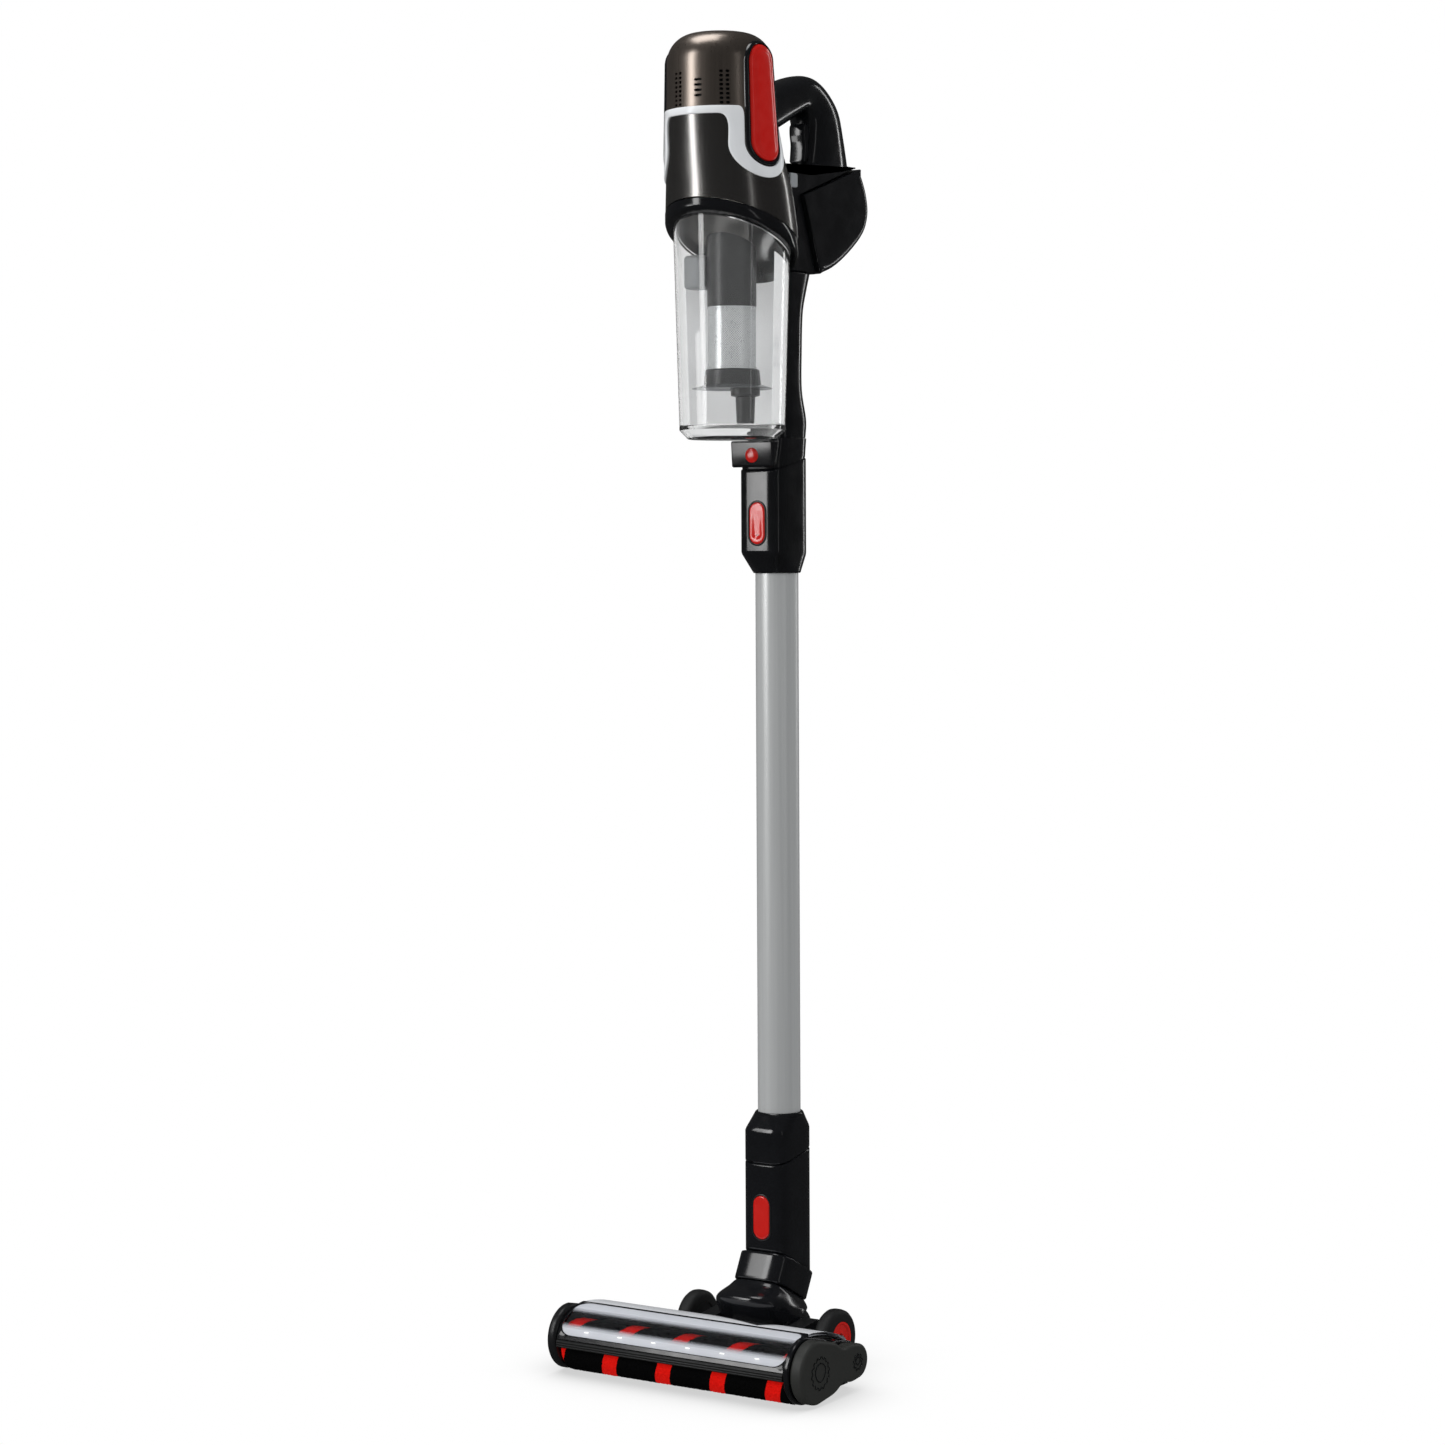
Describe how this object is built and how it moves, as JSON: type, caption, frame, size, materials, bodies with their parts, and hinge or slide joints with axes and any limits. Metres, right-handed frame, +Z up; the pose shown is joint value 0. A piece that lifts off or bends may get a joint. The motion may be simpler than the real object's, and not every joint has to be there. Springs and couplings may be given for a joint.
{
  "type": "cordless stick vacuum cleaner",
  "caption": "Upright cordless stick vacuum: handheld motor unit with clear dust cup, aluminium wand and a wheeled floor head with a driven plush roller behind a clear window.",
  "frame": {"origin": "on the floor, under the middle of the bounding box", "axes": "+Z up along the wand; -Y is the front (roller, dust cup); +X is the side with the belt cover"},
  "size_m": [0.2536, 0.2908, 1.111],
  "materials": {
    "gloss_black": "high-gloss injection-moulded black",
    "satin_black": "satin moulded black",
    "gunmetal": "metallic gunmetal lacquer on moulded plastic",
    "white": "gloss white moulded trim",
    "red": "gloss red moulded button",
    "clear": "clear polycarbonate",
    "frosted": "frosted translucent polycarbonate",
    "silver": "light silver moulded cover",
    "aluminium": "satin anodised tube",
    "dark_grey": "matt dark grey moulding",
    "mid_grey": "grey moulding",
    "mesh_steel": "perforated steel mesh",
    "steel": "bright turned steel",
    "motor": null,
    "plush": "soft plush pile",
    "tyre": "soft rubber tread",
    "rubber": "moulded rubber",
    "filter": "pleated filter paper",
    "board": "printed circuit board"
  },
  "bodies": {
    "floor_head": {"head_base": "satin_black", "head_top_deck": "silver", "roller_window": "frosted", "front_bumper": "rubber", "left_end_cap": "satin_black", "right_end_cap": "satin_black", "belt_cover": "dark_grey", "light_board": "board", "roller_motor": "steel", "drive_belt": "rubber", "left_bracket": "satin_black", "right_bracket": "satin_black", "left_axle": "steel", "right_axle": "steel"},
    "brush_roller": {"roller_core": "rubber", "roller_sleeve": "plush", "roller_pulley": "steel"},
    "drive_pinion_body": {"drive_pinion": "steel"},
    "left_wheel": {"left_hub": "red", "left_tyre": "tyre"},
    "right_wheel": {"right_hub": "red", "right_tyre": "tyre"},
    "elbow_body": {"elbow": "gloss_black"},
    "swivel_neck": {"swivel_collar": "gloss_black", "head_connector": "gloss_black"},
    "head_release": {"head_button": "red"},
    "wand": {"wand_tube": "aluminium", "wand_lower_socket": "gloss_black", "wand_upper_socket": "gloss_black"},
    "wand_release": {"wand_button": "red"},
    "handheld": {"neck": "gloss_black", "spine_duct": "gloss_black", "motor_housing": "gunmetal", "lower_shell": "gunmetal", "rim": "satin_black", "white_trim": "white", "left_bezel": "gloss_black", "right_bezel": "gloss_black", "fan_motor": "motor", "filter_disc": "filter", "handle_frame": "gloss_black"},
    "impeller_body": {"impeller": "mid_grey"},
    "left_long_button": {"left_side_button": "red"},
    "right_long_button": {"right_side_button": "red"},
    "trigger_body": {"trigger": "gloss_black"},
    "mode_key": {"mode_button": "satin_black"},
    "left_catch": {"left_battery_catch": "mid_grey"},
    "right_catch": {"right_battery_catch": "mid_grey"},
    "battery": {"battery_pack": "gloss_black"},
    "dust_container": {"dust_cup": "clear", "cyclone_shroud": "satin_black", "mesh_cylinder": "mesh_steel", "cyclone_stem": "satin_black", "inlet_duct": "mid_grey"},
    "lid": {"cup_lid": "clear", "lid_catch": "gloss_black"},
    "lid_release": {"round_button": "red"}
  },
  "joints": [
    {"name": "roller_spin", "type": "hinge", "parent": "floor_head", "child": "brush_roller", "pos_m": [0, -0.119, 0.022], "axis": [1, 0, 0], "continuous": true},
    {"name": "pinion_spin", "type": "hinge", "parent": "floor_head", "child": "drive_pinion_body", "pos_m": [0, -0.062, 0.025], "axis": [1, 0, 0], "continuous": true},
    {"name": "left_wheel_spin", "type": "hinge", "parent": "floor_head", "child": "left_wheel", "pos_m": [-0.07, 0.0014, 0.025], "axis": [1, 0, 0], "continuous": true},
    {"name": "right_wheel_spin", "type": "hinge", "parent": "floor_head", "child": "right_wheel", "pos_m": [0.07, 0.0014, 0.025], "axis": [1, 0, 0], "continuous": true},
    {"name": "pitch", "type": "hinge", "parent": "floor_head", "child": "elbow_body", "pos_m": [0, 0.0014, 0.025], "axis": [-1, 0, 0], "range_deg": [0, 60]},
    {"name": "swivel", "type": "hinge", "parent": "elbow_body", "child": "swivel_neck", "pos_m": [0, 0.015, 0.0685], "axis": [0, 0.454, 0.891], "range_deg": [-60, 60]},
    {"name": "head_release_press", "type": "slide", "parent": "swivel_neck", "child": "head_release", "axis": [0, 1, 0], "range_m": [0, 0.002], "stiffness_N_per_m": 600},
    {"name": "wand_lift", "type": "slide", "parent": "swivel_neck", "child": "wand", "axis": [0, 0, 1], "range_m": [0, 0.06]},
    {"name": "wand_release_press", "type": "slide", "parent": "wand", "child": "wand_release", "axis": [0, 1, 0], "range_m": [0, 0.002], "stiffness_N_per_m": 600},
    {"name": "handheld_lift", "type": "slide", "parent": "wand", "child": "handheld", "axis": [0, 0, 1], "range_m": [0, 0.06]},
    {"name": "impeller_spin", "type": "hinge", "parent": "handheld", "child": "impeller_body", "pos_m": [0, -0.056, 0.992], "axis": [0, 0, 1], "continuous": true},
    {"name": "left_button_press", "type": "slide", "parent": "handheld", "child": "left_long_button", "axis": [1, 0, 0], "range_m": [0, 0.002], "stiffness_N_per_m": 600},
    {"name": "right_button_press", "type": "slide", "parent": "handheld", "child": "right_long_button", "axis": [-1, 0, 0], "range_m": [0, 0.002], "stiffness_N_per_m": 600},
    {"name": "trigger_pull", "type": "slide", "parent": "handheld", "child": "trigger_body", "axis": [0, 1, 0], "range_m": [0, 0.004], "stiffness_N_per_m": 600},
    {"name": "mode_press", "type": "slide", "parent": "handheld", "child": "mode_key", "axis": [0, -0.784, -0.6207], "range_m": [0, 0.0012], "stiffness_N_per_m": 600},
    {"name": "left_catch_press", "type": "slide", "parent": "handheld", "child": "left_catch", "axis": [1, 0, 0], "range_m": [0, 0.0014], "stiffness_N_per_m": 600},
    {"name": "right_catch_press", "type": "slide", "parent": "handheld", "child": "right_catch", "axis": [-1, 0, 0], "range_m": [0, 0.0014], "stiffness_N_per_m": 600},
    {"name": "battery_draw", "type": "slide", "parent": "handheld", "child": "battery", "axis": [0, 0.3799, -0.925], "range_m": [0, 0.06]},
    {"name": "cup_detach", "type": "slide", "parent": "handheld", "child": "dust_container", "axis": [0, -0.6, -0.8], "range_m": [0, 0.06]},
    {"name": "lid_open", "type": "hinge", "parent": "dust_container", "child": "lid", "pos_m": [0, -0.0873, 0.798], "axis": [-1, 0, 0], "range_deg": [0, 95]},
    {"name": "lid_release_press", "type": "slide", "parent": "lid", "child": "lid_release", "axis": [0, 1, 0], "range_m": [0, 0.0012], "stiffness_N_per_m": 600}
  ],
  "couplings": [
    {"joint": "pinion_spin", "follows": "roller_spin", "ratio": 2}
  ]
}
